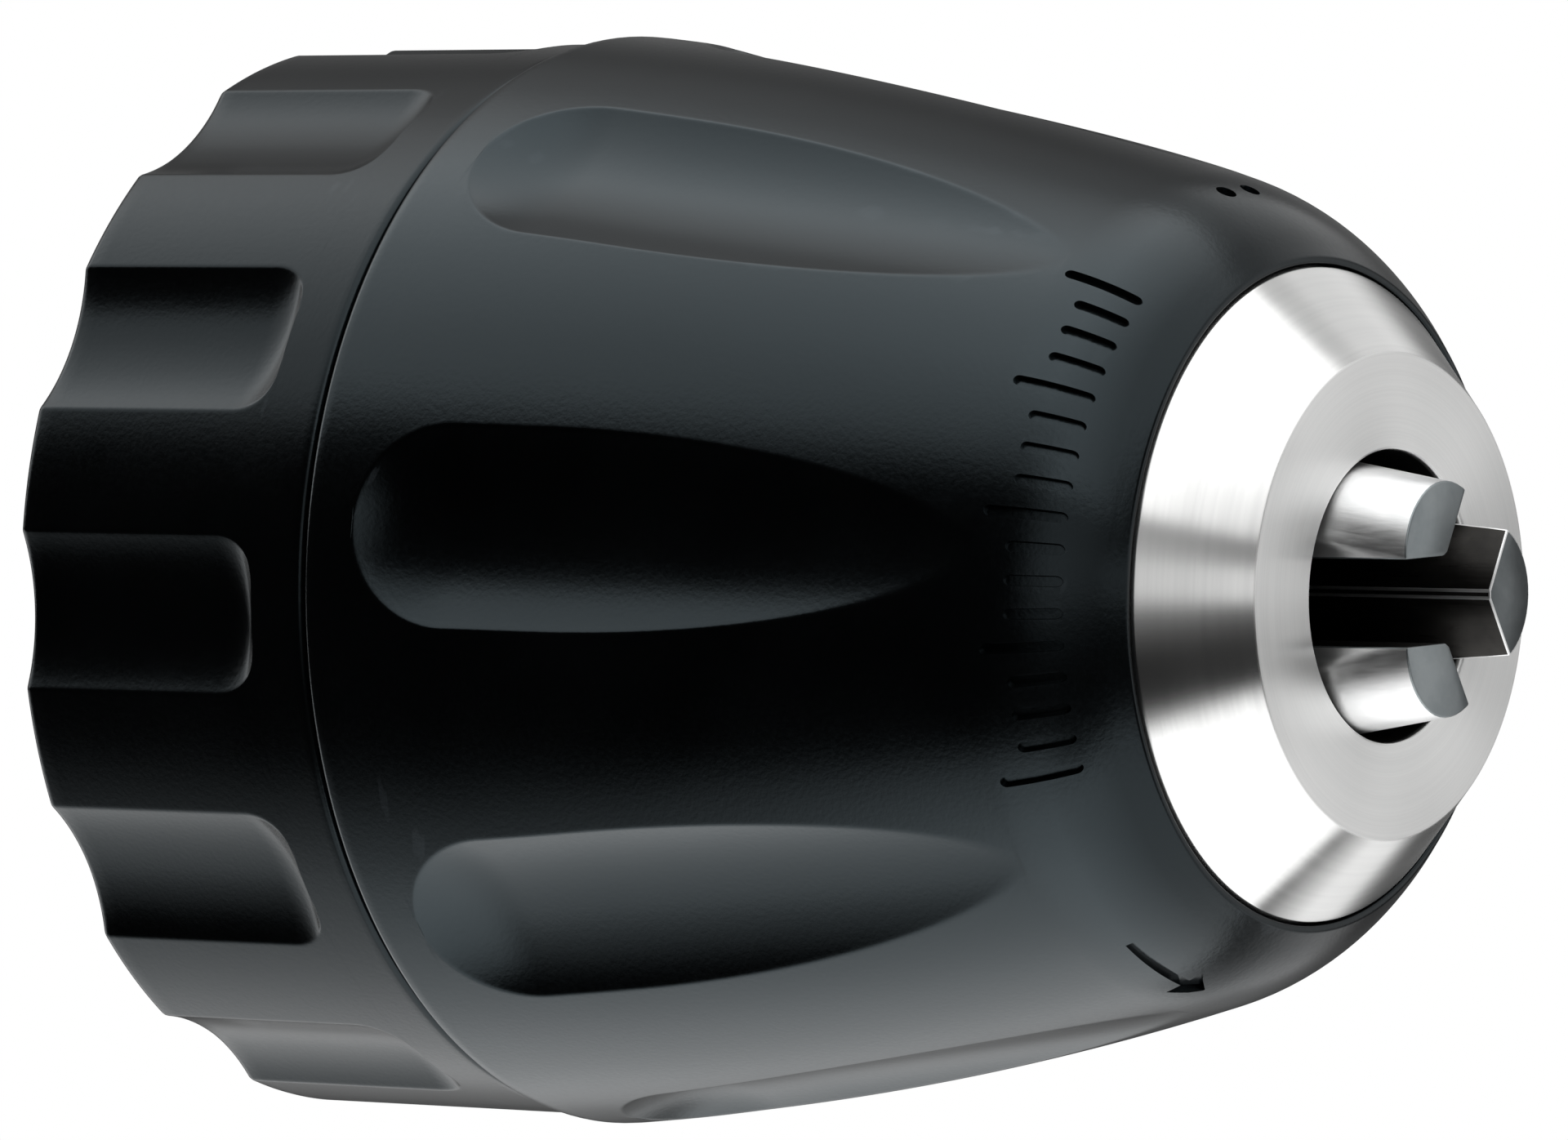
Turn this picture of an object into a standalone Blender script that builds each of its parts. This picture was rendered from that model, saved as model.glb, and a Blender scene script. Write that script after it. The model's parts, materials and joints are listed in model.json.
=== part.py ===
"""Two-sleeve keyless drill chuck, 10 mm capacity, drawn with its jaws a little open.

The chuck stands on its rear face: +Z runs along the spindle axis toward the nose, and the
origin is the centre of the rear face. Lengths are in millimetres, and MM turns them into
metres where meshes are made. Azimuths are in degrees about +Z, counted from +X.
"""
import math

import bmesh
import bpy
from mathutils import Matrix, Vector

MM = 0.001

# ---- main sizes -------------------------------------------------------------------------
FACE_Z = 49.3               # flat steel front face
FACE_RADIUS = 9.13
THROAT_RADIUS = 5.48        # round opening for the drill shank
BODY_RADIUS = 12.05         # steel body in front of the nut
CONE_START_Z = 45.9         # the nose cone starts here
WAIST_RADIUS = 8.6          # waist of the body that the split nut turns in
PILOT_RADIUS = 12.9         # bearing seat
FLANGE_RADIUS = 16.3        # thrust flange
FLANGE_Z = (18.5, 22.4)
HUB_RADIUS = 8.8
SPINDLE_RADIUS = 4.3        # minor radius of the 3/8 inch spindle thread
SPINDLE_DEPTH = 14.5
SPINDLE_MOUTH = 0.5         # chamfer at the rear of the socket
WEB_RADIUS = 3.2            # bore that joins the socket to the throat
WEB_TOP_Z = 20.0
THROAT_FLOOR_Z = 22.0
CLEARANCE = 0.3             # gap between pieces that touch or turn on each other

# ---- jaws: rods that slide in three tilted bores ---------------------------------------
JAW_AZIMUTHS = (94.0, 214.0, 334.0)
JAW_TILT = math.radians(12.0)
JAW_RADIUS = 2.75
JAW_LENGTH = 33.6
JAW_AXIS_AT_FACE = 2.51     # distance of a jaw's axis from the chuck axis at the front face
JAW_TIP_Z = 52.4
JAW_TIP_CHAMFER = 0.3
JAW_OPENING = 1.96          # radius held free by the gripping flats
JAW_WEDGE_APEX = 1.88       # radius at which the two 120 degree flanks would meet
JAW_BORE_RADIUS = 2.95
JAW_BORE_Z = (4.5, 48.3)    # ends of the bore's centre line, inside the round mouth of the throat
TOOTH_PITCH = 1.411         # 18 threads to the inch
TOOTH_DEPTH = 0.6
TOOTH_Z = (19.0, 46.8)

# ---- split nut and its band -------------------------------------------------------------
NUT_Z = (26.7, 32.3)
NUT_RADIUS = 14.2
NUT_CLEARANCE = 0.25        # between the nut's bore and the crests of the jaw teeth
NUT_SPLIT = 0.35
BAND_RADII = (14.45, 15.3)
NOTCH_WIDTH = 3.6
LUG_WIDTH = 2.8
LUG_RADII = (14.7, 16.2)
LUG_Z = (27.4, 31.6)

# ---- thrust bearing ---------------------------------------------------------------------
REAR_RACE_Z = (22.7, 23.3)
FRONT_RACE_Z = (25.7, 26.4)
RACE_RADII = (13.2, 16.2)
BALL_COUNT = 15
BALL_RADIUS = 1.05
BALL_CIRCLE = 14.7
CAGE_Z = (24.1, 24.9)
CAGE_RADII = (13.4, 16.0)
POCKET_RADIUS = 1.25

# ---- front sleeve: barrel with teardrop flutes -----------------------------------------
# The outside is two arcs through these (z, radius) points.
SLEEVE_REAR = (14.5, 21.2)
SLEEVE_SHOULDER = (41.15, 15.9)
SLEEVE_LIP = (45.7, 13.0)
BARREL_ARC = 144.0
SHOULDER_ARC = 9.7
LIP_Z = 46.0
LIP_RADIUS = 12.35
LIP_CHAMFER = 0.25
SLEEVE_EDGE_Z = 14.2
SLEEVE_EDGE_CHAMFER = 0.3
FLANGE_ROOM = 0.4           # between the flange and the sleeve
BAND_SHOULDER_Z = (26.8, 33.2)
SNAP_ROOM = 0.35
FLUTE_COUNT = 8
FLUTE_AZIMUTH = -95.3
FLUTE_Z = (16.3, 41.2)
FLUTE_DEPTH = 1.17
FLUTE_SCALLOP = 9.6
FLUTE_REAR_ARC = 6.4
FLUTE_TAPER_Z = 24.0

# ---- rear sleeve: straight ring with open grooves --------------------------------------
RING_RADIUS = 20.9
RING_LENGTH = 13.9
RING_HOLLOW = 16.9
RING_WALL = 3.0
RING_EDGE = 0.35
GROOVE_COUNT = 12
GROOVE_AZIMUTH = -85.5
GROOVE_END_Z = 11.5
GROOVE_DEPTH = 0.82
GROOVE_SCALLOP = 8.1
GROOVE_RUNOUT = 1.9

# ---- snap ring --------------------------------------------------------------------------
SNAP_GROOVE_Z = (42.4, 43.8)
SNAP_GROOVE_RADIUS = 11.2
SNAP_Z = (42.7, 43.5)
SNAP_RADII = (11.45, 12.7)
SNAP_GAP = 5.0

SNAP_GAP_AZIMUTH = 30.0

# ---- cutters and resolution -------------------------------------------------------------
SCALLOP_HALF_ARC = math.radians(27.0)
SCALLOP_COLUMNS = 6
OVERRUN = 1.0               # how far a cutter stands beyond the piece it cuts
BODY_STEPS = 48
SLEEVE_STEPS = 48
RING_STEPS = 60
CAGE_STEPS = 60
TOOTH_STEPS = 40
ROD_SEGMENTS = 24
BORE_SEGMENTS = 28
BALL_SEGMENTS = 10
BALL_RINGS = 6
MERGE = 0.00001


def clear_scene():
    """Start from an empty file."""
    for item in list(bpy.data.objects):
        bpy.data.objects.remove(item, do_unlink=True)


def make_collection(name):
    """A new collection under the scene."""
    group = bpy.data.collections.new(name)
    bpy.context.scene.collection.children.link(group)
    return group


def make_material(name, colour, roughness, metallic):
    """A Principled material of one colour."""
    material = bpy.data.materials.new(name)
    material.use_nodes = True
    shader = material.node_tree.nodes["Principled BSDF"]
    shader.inputs["Base Color"].default_value = (*colour, 1.0)
    shader.inputs["Roughness"].default_value = roughness
    shader.inputs["Metallic"].default_value = metallic
    return material


def add_part(name, mesh, look):
    """Link a mesh as a named piece of the chuck, with a material of its own."""
    part = bpy.data.objects.new(name, mesh)
    PARTS.objects.link(part)
    if not mesh.materials:
        mesh.materials.append(make_material(name + "_finish", *look))
    return part


def add_cutter(name, mesh):
    """Link a mesh as a cutter, which is never a piece."""
    cutter = bpy.data.objects.new(name, mesh)
    CUTTERS.objects.link(cutter)
    cutter.hide_render = True
    cutter.display_type = 'WIRE'
    return cutter


def boolean(part, cutter, operation='DIFFERENCE'):
    """Cut a piece with a cutter, join them, or keep what they share."""
    modifier = part.modifiers.new(cutter.name, 'BOOLEAN')
    modifier.operation = operation
    modifier.solver = 'EXACT'
    modifier.object = cutter


def bmesh_to_mesh(name, bm):
    """Turn a bmesh that is in millimetres into a mesh in metres."""
    bmesh.ops.scale(bm, vec=(MM, MM, MM), verts=bm.verts)
    mesh = bpy.data.meshes.new(name)
    bm.to_mesh(mesh)
    bm.free()
    return mesh


def profile_mesh(name, outline):
    """A closed loop of (z, radius) points at +X, down the outside and up the inside."""
    points = [(radius * MM, 0.0, z * MM) for z, radius in outline]
    edges = [(i, (i + 1) % len(points)) for i in range(len(points))]
    mesh = bpy.data.meshes.new(name)
    mesh.from_pydata(points, edges, [])
    return mesh


def turn(thing, steps):
    """Sweep a profile once around the Z axis."""
    screw = thing.modifiers.new("turned", 'SCREW')
    screw.axis = 'Z'
    screw.angle = math.tau
    screw.steps = steps
    screw.render_steps = steps
    screw.use_merge_vertices = True
    screw.merge_threshold = MERGE
    screw.use_smooth_shade = False
    return thing


def turned_part(name, outline, steps, look):
    """A ring-shaped piece of the chuck."""
    return turn(add_part(name, profile_mesh(name, outline), look), steps)


def turned_cutter(name, outline, steps):
    """A ring-shaped cutter."""
    return turn(add_cutter(name, profile_mesh(name, outline)), steps)


def ring_outline(z_range, radii):
    """Rectangular section of a plain ring."""
    low, high = z_range
    inner, outer = radii
    return [(high, outer), (low, outer), (low, inner), (high, inner)]


def add_box(bm, centre, size, azimuth=0.0):
    """A box in millimetres, turned about the Z axis after it is placed."""
    place = (Matrix.Rotation(math.radians(azimuth), 4, 'Z') @ Matrix.Translation(centre)
             @ Matrix.Diagonal((*size, 1.0)))
    bmesh.ops.create_cube(bm, size=1.0, matrix=place)


def arc_centre(start, end, radius):
    """Centre, toward the axis, of the circle through two (z, radius) points."""
    first = Vector(start)
    last = Vector(end)
    half = (last - first) / 2
    inward = Vector((half.y, -half.x)).normalized()
    return (first + last) / 2 + inward * math.sqrt(radius ** 2 - half.length_squared)


def arc_points(start, end, radius, count):
    """Points on the arc between two (z, radius) points, both ends included."""
    centre = arc_centre(start, end, radius)
    first = math.atan2(start[1] - centre.y, start[0] - centre.x)
    last = math.atan2(end[1] - centre.y, end[0] - centre.x)
    angles = [first + (last - first) * i / count for i in range(count + 1)]
    return [(centre.x + radius * math.cos(a), centre.y + radius * math.sin(a)) for a in angles]


def barrel_radius(z):
    """Outer radius of the front sleeve, before the flutes are cut."""
    start, end, radius = SLEEVE_REAR, SLEEVE_SHOULDER, BARREL_ARC
    if z > SLEEVE_SHOULDER[0]:
        start, end, radius = SLEEVE_SHOULDER, SLEEVE_LIP, SHOULDER_ARC
    centre = arc_centre(start, end, radius)
    return centre.y + math.sqrt(radius ** 2 - (z - centre.x) ** 2)


def jaw_axis_radius(z):
    """Distance between a jaw's axis and the chuck axis at height z."""
    return JAW_AXIS_AT_FACE + (FACE_Z - z) * math.tan(JAW_TILT)


def jaw_back_radius(z):
    """Outer reach of a jaw at height z."""
    return jaw_axis_radius(z) + JAW_RADIUS / math.cos(JAW_TILT)


def add_scallop(bm, stations, scallop_radius, azimuth):
    """Loft a cutter whose floor is an arc across the groove.

    Each station is (z, surface radius, depth). The sides stand well clear of the surface.
    """
    turn_to = Matrix.Rotation(math.radians(azimuth), 4, 'Z')
    angles = [SCALLOP_HALF_ARC * (2 * i / SCALLOP_COLUMNS - 1) for i in range(SCALLOP_COLUMNS + 1)]
    reach = scallop_radius * math.sin(SCALLOP_HALF_ARC)
    sections = []
    for z, surface, depth in stations:
        middle = surface + scallop_radius - depth
        points = [(middle - scallop_radius * math.cos(a), scallop_radius * math.sin(a), z) for a in angles]
        back = surface + 3 * OVERRUN
        points += [(back, reach, z), (back, -reach, z)]
        sections.append([bm.verts.new(turn_to @ Vector(p)) for p in points])
    bm.faces.new(reversed(sections[0]))
    bm.faces.new(sections[-1])
    for lower, upper in zip(sections, sections[1:]):
        for i in range(len(lower)):
            j = (i + 1) % len(lower)
            bm.faces.new((lower[i], lower[j], upper[j], upper[i]))


def outward(bm):
    """Make every face of the closed shapes point out."""
    bmesh.ops.recalc_face_normals(bm, faces=bm.faces)


def flute_depth(z):
    """Depth of a flute: a round rear end, a level floor, and a long taper to the nose.

    Beyond the nose end the depth falls below zero, so the cutter leaves the surface cleanly.
    """
    rear, front = FLUTE_Z
    floor_start = rear + math.sqrt(2 * FLUTE_REAR_ARC * FLUTE_DEPTH)
    if z < floor_start:
        return FLUTE_DEPTH - (floor_start - z) ** 2 / (2 * FLUTE_REAR_ARC)
    if z < FLUTE_TAPER_Z:
        return FLUTE_DEPTH
    along = (z - FLUTE_TAPER_Z) / (front - FLUTE_TAPER_Z)
    taper_power = 1.2
    rise_beyond = 0.1
    return FLUTE_DEPTH * (1 - along ** 2) ** taper_power if along < 1 else (front - z) * rise_beyond


def flute_cutters():
    """Eight teardrop scallops around the front sleeve."""
    rear, front = FLUTE_Z
    rear_step = 1.1
    steps = 4
    rear_run = [rear - OVERRUN / 2 + i * rear_step for i in range(steps + 1)]
    front_run = [FLUTE_TAPER_Z + (front - FLUTE_TAPER_Z) * i / steps for i in range(steps + 1)]
    heights = rear_run + front_run + [front + OVERRUN]
    stations = [(z, barrel_radius(z), flute_depth(z)) for z in heights]
    bm = bmesh.new()
    for k in range(FLUTE_COUNT):
        add_scallop(bm, stations, FLUTE_SCALLOP, FLUTE_AZIMUTH + k * 360 / FLUTE_COUNT)
    outward(bm)
    return add_cutter("flute_cutters", bmesh_to_mesh("flute_cutters", bm))


def groove_cutters():
    """Twelve grooves around the rear sleeve, open at its rear edge, with a round front end."""
    start = GROOVE_END_Z - GROOVE_RUNOUT
    stations = [(-OVERRUN, RING_RADIUS, GROOVE_DEPTH), (start, RING_RADIUS, GROOVE_DEPTH)]
    steps = 3
    for i in range(1, steps + 1):
        angle = math.pi / 2 * i / steps
        z = start + GROOVE_RUNOUT * math.sin(angle)
        stations.append((z, RING_RADIUS, GROOVE_DEPTH * math.cos(angle)))
    stations.append((GROOVE_END_Z + OVERRUN / 10, RING_RADIUS, -OVERRUN / 2))
    bm = bmesh.new()
    for k in range(GROOVE_COUNT):
        add_scallop(bm, stations, GROOVE_SCALLOP, GROOVE_AZIMUTH + k * 360 / GROOVE_COUNT)
    outward(bm)
    return add_cutter("groove_cutters", bmesh_to_mesh("groove_cutters", bm))


def jaw_matrix(azimuth):
    """Place of a jaw: its origin on its axis at the front face, its Z along the axis."""
    radial = Matrix.Rotation(math.radians(azimuth), 4, 'Z')
    offset = Matrix.Translation((JAW_AXIS_AT_FACE, 0.0, FACE_Z))
    tilt = Matrix.Rotation(-JAW_TILT, 4, 'Y')
    return radial @ offset @ tilt


def add_rod(bm, matrix, radius, z_range, segments):
    """A cylinder along the local Z of a placement, between two distances from its origin."""
    low, high = z_range
    middle = Matrix.Translation((0.0, 0.0, (low + high) / 2))
    bmesh.ops.create_cone(bm, cap_ends=True, segments=segments, radius1=radius, radius2=radius,
                          depth=high - low, matrix=matrix @ middle)


def jaw_bore_cutters():
    """Three tilted bores that meet in the throat."""
    low, high = ((z - FACE_Z) / math.cos(JAW_TILT) for z in JAW_BORE_Z)
    bm = bmesh.new()
    for azimuth in JAW_AZIMUTHS:
        add_rod(bm, jaw_matrix(azimuth), JAW_BORE_RADIUS, (low, high), BORE_SEGMENTS)
    return add_cutter("jaw_bore_cutters", bmesh_to_mesh("jaw_bore_cutters", bm))


def chuck_body():
    """Steel core: nose, snap ring groove, nut waist, bearing seat, flange, hub and bores."""
    rear_of_flange, front_of_flange = FLANGE_Z
    waist_low = FRONT_RACE_Z[1]
    waist_high = NUT_Z[1] + CLEARANCE
    snap_low, snap_high = SNAP_GROOVE_Z
    outside = [(FACE_Z, FACE_RADIUS), (CONE_START_Z, BODY_RADIUS), (snap_high, BODY_RADIUS),
               (snap_high, SNAP_GROOVE_RADIUS), (snap_low, SNAP_GROOVE_RADIUS), (snap_low, BODY_RADIUS),
               (waist_high, BODY_RADIUS), (waist_high, WAIST_RADIUS), (waist_low, WAIST_RADIUS),
               (waist_low, PILOT_RADIUS), (front_of_flange, PILOT_RADIUS),
               (front_of_flange, FLANGE_RADIUS), (rear_of_flange, FLANGE_RADIUS),
               (rear_of_flange, HUB_RADIUS), (0.0, HUB_RADIUS)]
    inside = [(0.0, SPINDLE_RADIUS + SPINDLE_MOUTH), (SPINDLE_MOUTH, SPINDLE_RADIUS),
              (SPINDLE_DEPTH, SPINDLE_RADIUS), (SPINDLE_DEPTH, WEB_RADIUS), (WEB_TOP_Z, WEB_RADIUS),
              (THROAT_FLOOR_Z, THROAT_RADIUS), (FACE_Z, THROAT_RADIUS)]
    body = turned_part("chuck_body", outside + inside, BODY_STEPS, ((0.62, 0.62, 0.61), 0.28, 1.0))
    boolean(body, jaw_bore_cutters())


def jaw_wedge_mesh(azimuth):
    """Prism that keeps a jaw's 120 degree nose, its gripping flat and its level tip."""
    slope = math.tan(math.radians(60.0))
    half_flat = slope * (JAW_OPENING - JAW_WEDGE_APEX)
    half_width = JAW_RADIUS + OVERRUN
    flank_end = JAW_WEDGE_APEX + half_width / slope
    back = jaw_back_radius(TOOTH_Z[0]) + 3 * OVERRUN
    outline = [(JAW_OPENING, -half_flat), (flank_end, -half_width), (back, -half_width),
               (back, half_width), (flank_end, half_width), (JAW_OPENING, half_flat)]
    below_chamfer = JAW_TIP_Z - JAW_TIP_CHAMFER
    turn_to = Matrix.Rotation(math.radians(azimuth), 4, 'Z')
    bm = bmesh.new()
    rings = []
    for z, inset in ((0.0, 0.0), (below_chamfer, 0.0), (JAW_TIP_Z, JAW_TIP_CHAMFER)):
        rings.append([bm.verts.new(turn_to @ Vector((x + inset, y, z))) for x, y in outline])
    bm.faces.new(reversed(rings[0]))
    bm.faces.new(rings[-1])
    for lower, upper in zip(rings, rings[1:]):
        for i in range(len(lower)):
            j = (i + 1) % len(lower)
            bm.faces.new((lower[i], lower[j], upper[j], upper[i]))
    outward(bm)
    return bmesh_to_mesh("jaw_wedge", bm)


def tooth_outline(lead):
    """Saw-tooth ring that leaves a jaw's back teeth, shifted along the jaw by the thread lead."""
    pitch = TOOTH_PITCH * math.cos(JAW_TILT)
    low, high = TOOTH_Z
    beyond = OVERRUN / 4
    teeth = int((high - low) / pitch)
    start = low + lead * math.cos(JAW_TILT)
    bottom = start - 4 * pitch
    inside = [(bottom, jaw_back_radius(bottom) + beyond)]
    for i in range(teeth):
        z = start + i * pitch
        root = z + pitch / 2
        inside.append((z, jaw_back_radius(z) + beyond))
        inside.append((root, jaw_back_radius(root) - TOOTH_DEPTH))
    top = start + teeth * pitch
    inside.append((top, jaw_back_radius(top) + beyond))
    outer = jaw_back_radius(bottom) + 4 * OVERRUN
    return [(top, outer), (bottom, outer)] + inside


def jaw(number, azimuth):
    """One jaw: a round rod with a wedge nose and thread teeth on its back."""
    name = f"jaw_{number}"
    tip = (JAW_TIP_Z - FACE_Z) / math.cos(JAW_TILT)
    bm = bmesh.new()
    add_rod(bm, Matrix.Identity(4), JAW_RADIUS, (tip - JAW_LENGTH, tip + OVERRUN), ROD_SEGMENTS)
    part = add_part(name, bmesh_to_mesh(name, bm), ((0.55, 0.54, 0.52), 0.3, 1.0))
    place = jaw_matrix(azimuth)
    place.translation *= MM
    part.matrix_world = place
    boolean(part, add_cutter(name + "_wedge", jaw_wedge_mesh(azimuth)), 'INTERSECT')
    lead = TOOTH_PITCH * (number - 1) / len(JAW_AZIMUTHS)
    boolean(part, turned_cutter(name + "_teeth", tooth_outline(lead), TOOTH_STEPS))


def split_nut():
    """The jaw nut, cracked in two halves so that it closes around the waist of the body."""
    low, high = NUT_Z
    bore = [(z, jaw_back_radius(z) + NUT_CLEARANCE) for z in (low, high)]
    outline = [(high, NUT_RADIUS), (low, NUT_RADIUS)] + bore
    reach = 2 * NUT_RADIUS
    for name, side in (("nut_half_a", -1), ("nut_half_b", 1)):
        half = turned_part(name, outline, BODY_STEPS, ((0.4, 0.39, 0.37), 0.4, 1.0))
        bm = bmesh.new()
        offset = side * (reach / 2 - NUT_SPLIT / 2)
        add_box(bm, (0.0, offset, (low + high) / 2), (2 * reach, reach, 2 * reach))
        boolean(half, add_cutter(name + "_split", bmesh_to_mesh(name + "_split", bm)))


def nut_band():
    """Pressed ring that holds the nut halves, with three notches for the sleeve's lugs."""
    band = turned_part("nut_band", ring_outline(NUT_Z, BAND_RADII), SLEEVE_STEPS,
                       ((0.35, 0.34, 0.33), 0.45, 1.0))
    inner, outer = BAND_RADII
    notch_top = LUG_Z[1] + CLEARANCE
    bm = bmesh.new()
    for azimuth in JAW_AZIMUTHS:
        size = (outer - inner + 2 * OVERRUN, NOTCH_WIDTH, notch_top - NUT_Z[0] + OVERRUN)
        centre = ((inner + outer) / 2, 0.0, notch_top - size[2] / 2)
        add_box(bm, centre, size, azimuth)
    boolean(band, add_cutter("band_notches", bmesh_to_mesh("band_notches", bm)))


def front_sleeve():
    """The sleeve that the user turns: fluted barrel outside, lugs and a snap step inside."""
    outside = [(LIP_Z, LIP_RADIUS + LIP_CHAMFER)]
    outside += list(reversed(arc_points(SLEEVE_SHOULDER, SLEEVE_LIP, SHOULDER_ARC, 3)))
    outside += list(reversed(arc_points(SLEEVE_REAR, SLEEVE_SHOULDER, BARREL_ARC, 5)))[1:]
    outside.append((SLEEVE_EDGE_Z, SLEEVE_REAR[1] - SLEEVE_EDGE_CHAMFER))
    flange_room = FLANGE_RADIUS + FLANGE_ROOM
    band_room = BAND_RADII[1] + CLEARANCE
    snap_room = SNAP_RADII[1] + SNAP_ROOM
    band_low, band_high = BAND_SHOULDER_Z
    snap_low, snap_high = SNAP_GROOVE_Z
    inside = [(SLEEVE_EDGE_Z, flange_room), (band_low, flange_room), (band_low, band_room),
              (band_high, band_room), (snap_low - SNAP_ROOM, snap_room), (snap_high, snap_room),
              (snap_high, LIP_RADIUS), (LIP_Z, LIP_RADIUS)]
    sleeve = turned_part("front_sleeve", outside + inside, SLEEVE_STEPS, ((0.02, 0.022, 0.024), 0.45, 0.0))
    boolean(sleeve, flute_cutters())
    inner, outer = LUG_RADII
    low, high = LUG_Z
    bm = bmesh.new()
    for azimuth in JAW_AZIMUTHS:
        centre = ((inner + outer) / 2, 0.0, (low + high) / 2)
        add_box(bm, centre, (outer - inner, LUG_WIDTH, high - low), azimuth)
    boolean(sleeve, add_cutter("sleeve_lugs", bmesh_to_mesh("sleeve_lugs", bm)), 'UNION')


def rear_sleeve():
    """The sleeve that is fixed to the body and held still by hand."""
    hub_room = HUB_RADIUS + CLEARANCE
    outline = [(RING_LENGTH, RING_RADIUS - RING_EDGE), (RING_LENGTH - RING_EDGE, RING_RADIUS),
               (RING_EDGE, RING_RADIUS), (0.0, RING_RADIUS - RING_EDGE), (0.0, hub_room),
               (RING_WALL, hub_room), (RING_WALL, RING_HOLLOW), (RING_LENGTH, RING_HOLLOW)]
    ring = turned_part("rear_sleeve", outline, RING_STEPS, ((0.02, 0.022, 0.024), 0.45, 0.0))
    boolean(ring, groove_cutters())


def thrust_bearing():
    """Two hardened washers with a caged row of balls between them."""
    steel = ((0.5, 0.5, 0.5), 0.2, 1.0)
    turned_part("race_washer_rear", ring_outline(REAR_RACE_Z, RACE_RADII), BODY_STEPS, steel)
    turned_part("race_washer_front", ring_outline(FRONT_RACE_Z, RACE_RADII), BODY_STEPS, steel)
    brass = ((0.55, 0.42, 0.2), 0.35, 1.0)
    cage = turned_part("ball_cage", ring_outline(CAGE_Z, CAGE_RADII), CAGE_STEPS, brass)
    centre_z = (REAR_RACE_Z[1] + FRONT_RACE_Z[0]) / 2
    axis = bpy.data.objects.new("bearing_axis", None)
    PARTS.objects.link(axis)
    pockets = bmesh.new()
    ball_shape = bmesh.new()
    bmesh.ops.create_uvsphere(ball_shape, u_segments=BALL_SEGMENTS, v_segments=BALL_RINGS, radius=BALL_RADIUS)
    ball_mesh = bmesh_to_mesh("bearing_ball", ball_shape)
    for k in range(BALL_COUNT):
        angle = math.tau * k / BALL_COUNT
        centre = Vector((BALL_CIRCLE * math.cos(angle), BALL_CIRCLE * math.sin(angle), centre_z))
        add_rod(pockets, Matrix.Translation(centre), POCKET_RADIUS, (-OVERRUN, OVERRUN), BALL_SEGMENTS)
        ball = add_part(f"bearing_ball_{k + 1:02d}", ball_mesh, ((0.7, 0.7, 0.7), 0.1, 1.0))
        ball.parent = axis
        ball.location = centre * MM
    boolean(cage, add_cutter("cage_pockets", bmesh_to_mesh("cage_pockets", pockets)))


def snap_ring():
    """Spring ring in the body's groove that keeps the front sleeve on."""
    ring = turned_part("sleeve_snap_ring", ring_outline(SNAP_Z, SNAP_RADII), BODY_STEPS,
                       ((0.3, 0.3, 0.3), 0.4, 1.0))
    bm = bmesh.new()
    middle = (sum(SNAP_RADII) / 2, 0.0, sum(SNAP_Z) / 2)
    add_box(bm, middle, (4 * OVERRUN, SNAP_GAP, 4 * OVERRUN), SNAP_GAP_AZIMUTH)
    boolean(ring, add_cutter("snap_ring_gap", bmesh_to_mesh("snap_ring_gap", bm)))


def shade_round_pieces():
    """Smooth shading, with the machined edges kept sharp."""
    for part in PARTS.objects:
        if part.type == 'MESH':
            part.data.shade_smooth()
            part.data.set_sharp_from_angle(angle=math.radians(35.0))


clear_scene()
PARTS = make_collection("drill_chuck")
CUTTERS = make_collection("drill_chuck_cutters")
chuck_body()
for index, jaw_azimuth in enumerate(JAW_AZIMUTHS):
    jaw(index + 1, jaw_azimuth)
split_nut()
nut_band()
thrust_bearing()
front_sleeve()
rear_sleeve()
snap_ring()
shade_round_pieces()
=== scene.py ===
"""Looks of the keyless drill chuck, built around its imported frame.

Lengths are in millimetres, and MM turns them into metres where meshes are made. Angles called
azimuth are in degrees about +Z, counted from +X.
"""
import json
import math

import bmesh
import bpy
import numpy as np
from mathutils import Matrix, Vector


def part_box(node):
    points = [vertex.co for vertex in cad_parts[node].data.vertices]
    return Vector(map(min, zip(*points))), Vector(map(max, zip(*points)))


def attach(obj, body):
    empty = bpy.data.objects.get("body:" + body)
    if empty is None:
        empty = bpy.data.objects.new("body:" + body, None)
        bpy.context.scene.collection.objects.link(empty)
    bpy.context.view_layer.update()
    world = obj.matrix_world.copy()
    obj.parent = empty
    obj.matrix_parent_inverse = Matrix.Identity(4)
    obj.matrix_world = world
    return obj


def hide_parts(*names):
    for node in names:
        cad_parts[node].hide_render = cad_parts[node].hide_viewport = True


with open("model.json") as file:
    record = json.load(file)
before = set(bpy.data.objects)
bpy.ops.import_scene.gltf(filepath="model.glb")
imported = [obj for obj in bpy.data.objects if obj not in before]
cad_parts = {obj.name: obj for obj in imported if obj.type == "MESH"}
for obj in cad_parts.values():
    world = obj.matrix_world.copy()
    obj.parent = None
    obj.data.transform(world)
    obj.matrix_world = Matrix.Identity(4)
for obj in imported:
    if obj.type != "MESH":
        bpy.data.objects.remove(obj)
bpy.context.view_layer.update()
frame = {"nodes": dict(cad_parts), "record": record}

MM = 0.001


def span(node, axis):
    """Lowest and highest coordinate of a CAD node along an axis, in millimetres."""
    low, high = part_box(node)
    return low[axis] / MM, high[axis] / MM


# ---- sizes read from the frame ----------------------------------------------------------
FACE_Z = span("chuck_body", 2)[1]
BODY_FLANGE = span("chuck_body", 0)[1]
TIP_Z = span("jaw_1", 2)[1]
SLEEVE_EDGE_Z, LIP_Z = span("front_sleeve", 2)
SLEEVE_RADIUS = max(span("front_sleeve", 0)[1], span("front_sleeve", 1)[1])
RING_LENGTH = span("rear_sleeve", 2)[1]
RING_RADIUS = span("rear_sleeve", 0)[1]

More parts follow.
